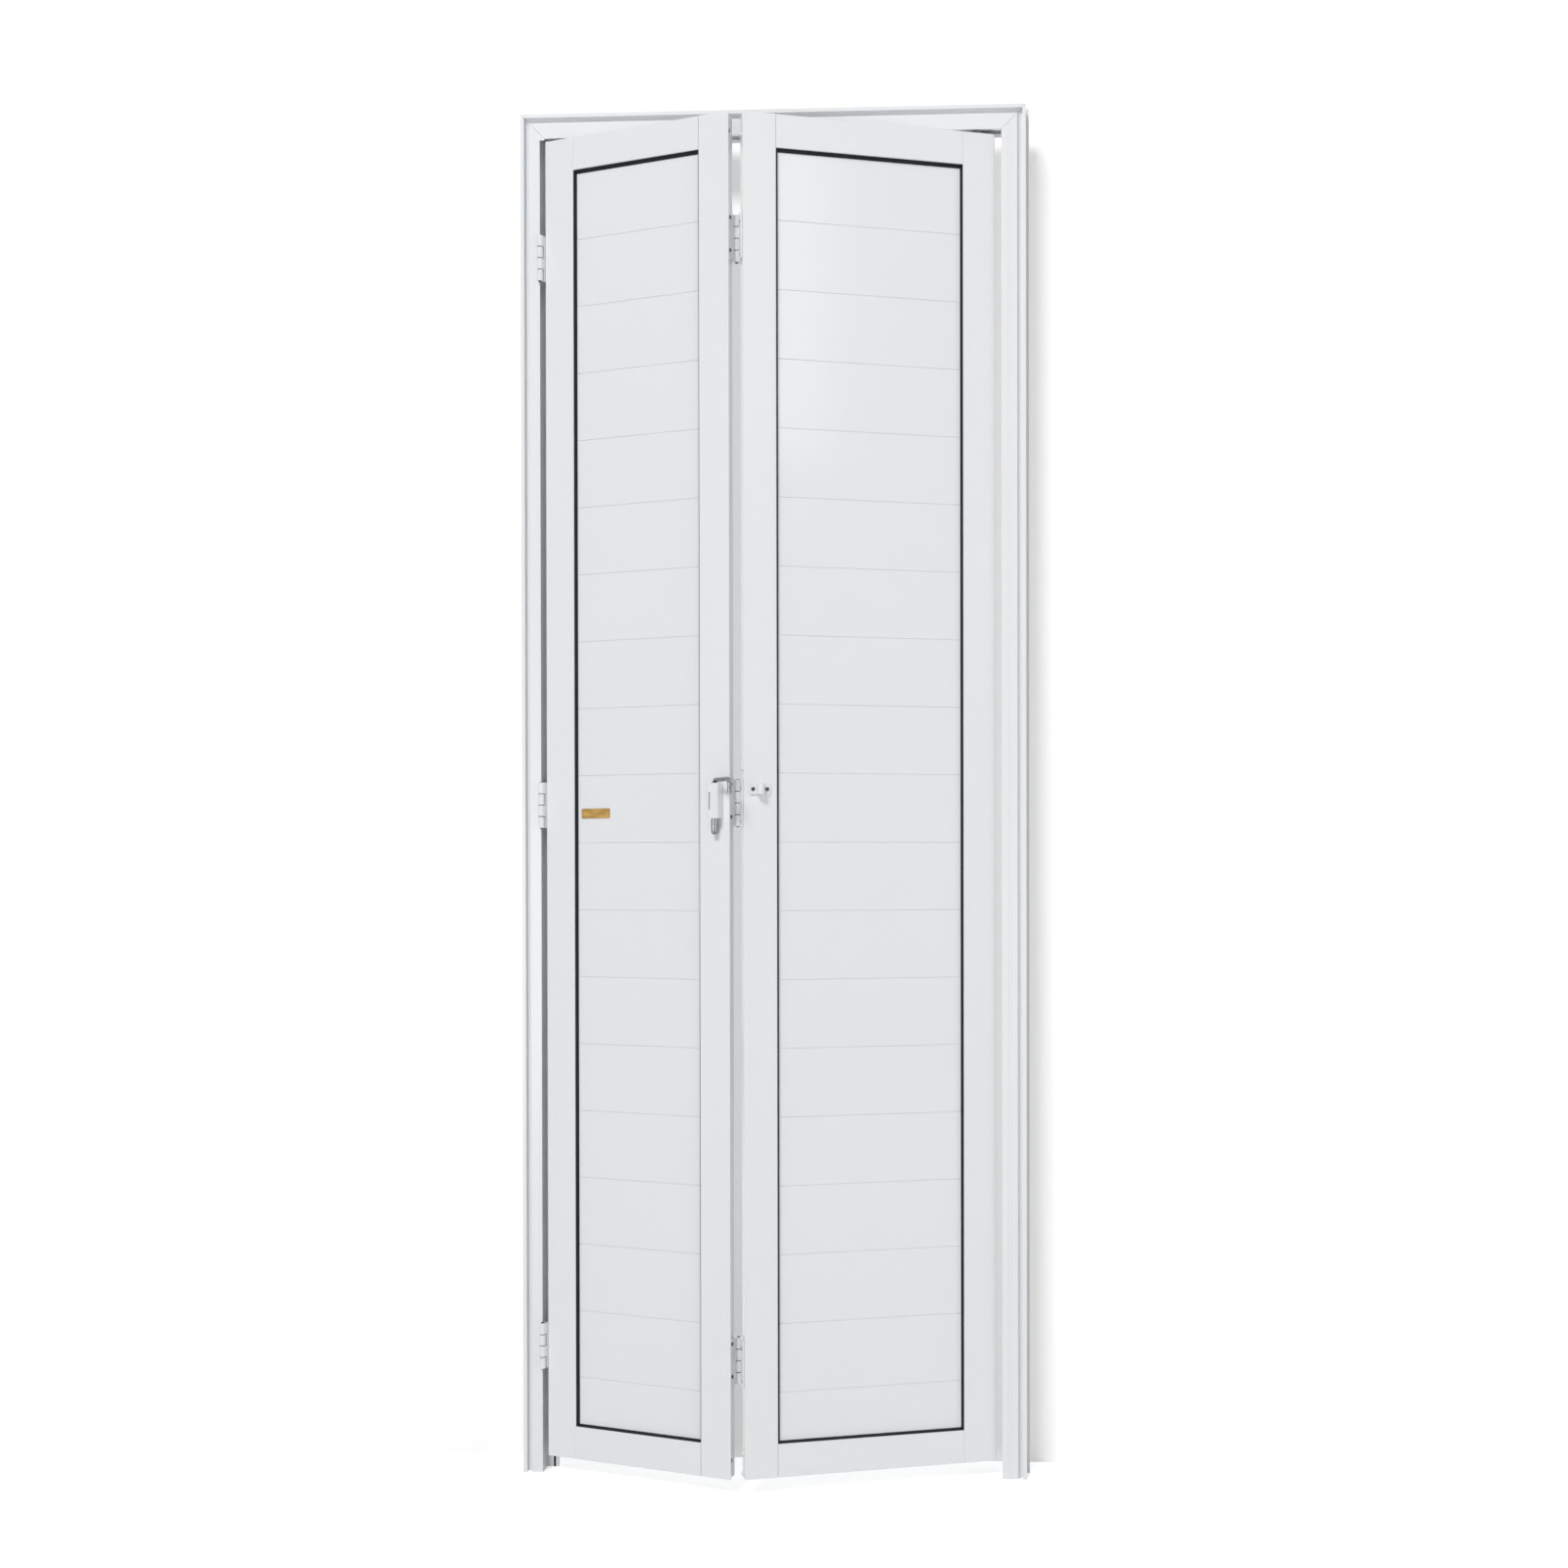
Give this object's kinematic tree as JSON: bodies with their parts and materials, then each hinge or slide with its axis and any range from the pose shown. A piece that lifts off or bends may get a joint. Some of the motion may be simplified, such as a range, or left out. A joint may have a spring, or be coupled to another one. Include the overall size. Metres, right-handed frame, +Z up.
{
  "type": "bifold door",
  "caption": "Bifold door in a slim metal frame: two boarded leaves, the narrow one hung on the jamb, the wide one folding on it and guided in the head, with a hook latch.",
  "frame": {"origin": "middle of the frame at the floor, in the plane of the front edge of the frame", "axes": "+X across the frame to the closing side, +Y into the wall, away from the side that the leaves fold to, +Z up"},
  "size_m": [0.789, 0.1799, 2.1045],
  "materials": {
    "white_powder_coat": "smooth satin white powder coat on aluminium",
    "black_rubber": "matt black glazing rubber",
    "dark_steel": "dark zinc plated steel",
    "bright_steel": "bright drawn steel",
    "mill_aluminium": "mill finish aluminium",
    "gold_anodised": "plain gold coloured plate",
    "black_plastic": "moulded black nylon",
    "white_nylon": "turned white nylon",
    "grey_nylon": "moulded grey nylon"
  },
  "bodies": {
    "frame": {"frame_head": "white_powder_coat", "frame_jamb_hinge_side": "white_powder_coat", "frame_jamb_closing_side": "white_powder_coat", "frame_cleat_left": "mill_aluminium", "frame_cleat_right": "mill_aluminium", "guide_track": "mill_aluminium", "stop_seal": "black_rubber", "jamb_hinge_frame_plate_1": "white_powder_coat", "jamb_hinge_frame_plate_2": "white_powder_coat", "jamb_hinge_frame_plate_3": "white_powder_coat", "jamb_hinge_frame_fixing_1": "dark_steel", "jamb_hinge_frame_fixing_2": "dark_steel", "jamb_hinge_frame_fixing_3": "dark_steel", "jamb_hinge_pin_1": "bright_steel", "jamb_hinge_pin_2": "bright_steel", "jamb_hinge_pin_3": "bright_steel"},
    "leaf_left": {"leaf_left_outer_stile": "white_powder_coat", "leaf_left_inner_stile": "white_powder_coat", "leaf_left_top_rail": "white_powder_coat", "leaf_left_bottom_rail": "white_powder_coat", "leaf_left_panel": "white_powder_coat", "leaf_left_gasket_front": "black_rubber", "leaf_left_gasket_back": "black_rubber", "jamb_hinge_leaf_plate_1": "white_powder_coat", "jamb_hinge_leaf_plate_2": "white_powder_coat", "jamb_hinge_leaf_plate_3": "white_powder_coat", "jamb_hinge_leaf_fixing_1": "dark_steel", "jamb_hinge_leaf_fixing_2": "dark_steel", "jamb_hinge_leaf_fixing_3": "dark_steel", "fold_hinge_left_plate_1": "white_powder_coat", "fold_hinge_left_plate_2": "white_powder_coat", "fold_hinge_left_plate_3": "white_powder_coat", "fold_hinge_left_fixing_1": "dark_steel", "fold_hinge_left_fixing_2": "dark_steel", "fold_hinge_left_fixing_3": "dark_steel", "name_plate": "gold_anodised", "latch_case": "white_powder_coat"},
    "leaf_right": {"leaf_right_outer_stile": "white_powder_coat", "leaf_right_inner_stile": "white_powder_coat", "leaf_right_top_rail": "white_powder_coat", "leaf_right_bottom_rail": "white_powder_coat", "leaf_right_panel": "white_powder_coat", "leaf_right_gasket_front": "black_rubber", "leaf_right_gasket_back": "black_rubber", "fold_hinge_right_plate_1": "white_powder_coat", "fold_hinge_right_plate_2": "white_powder_coat", "fold_hinge_right_plate_3": "white_powder_coat", "fold_hinge_right_fixing_1": "dark_steel", "fold_hinge_right_fixing_2": "dark_steel", "fold_hinge_right_fixing_3": "dark_steel", "fold_hinge_pin_1": "bright_steel", "fold_hinge_pin_2": "bright_steel", "fold_hinge_pin_3": "bright_steel", "keeper": "white_powder_coat", "keeper_fixing": "dark_steel", "guide_plug": "black_plastic", "guide_pin": "bright_steel"},
    "guide_roller": {"guide_roller": "white_nylon"},
    "latch_bush": {"latch_bush": "grey_nylon"},
    "latch_rod": {"latch_rod": "bright_steel"}
  },
  "joints": [
    {"name": "left_leaf_swing", "type": "hinge", "parent": "frame", "child": "leaf_left", "pos_m": [-0.3584, -0.0039, 1.04], "axis": [0, 0, -1], "range_deg": [-18.8, 51.2]},
    {"name": "right_leaf_fold", "type": "hinge", "parent": "leaf_left", "child": "leaf_right", "pos_m": [-0.04195, -0.0735, 1.04], "axis": [0, 0, 1], "range_deg": [-35.08, 95.52]},
    {"name": "guide_roller_spin", "type": "hinge", "parent": "leaf_right", "child": "guide_roller", "pos_m": [0.31823, 0.0127, 2.065], "axis": [0, 0, 1], "continuous": true},
    {"name": "latch_swivel", "type": "hinge", "parent": "leaf_left", "child": "latch_bush", "pos_m": [-0.07265, -0.10255, 1.036], "axis": [0, 0, -1], "range_deg": [-35, 60]},
    {"name": "latch_lift", "type": "slide", "parent": "latch_bush", "child": "latch_rod", "axis": [0, 0, 1], "range_m": [0, 0.018]}
  ],
  "couplings": [
    {"joint": "right_leaf_fold", "follows": "left_leaf_swing", "ratio": 1.8657}
  ]
}
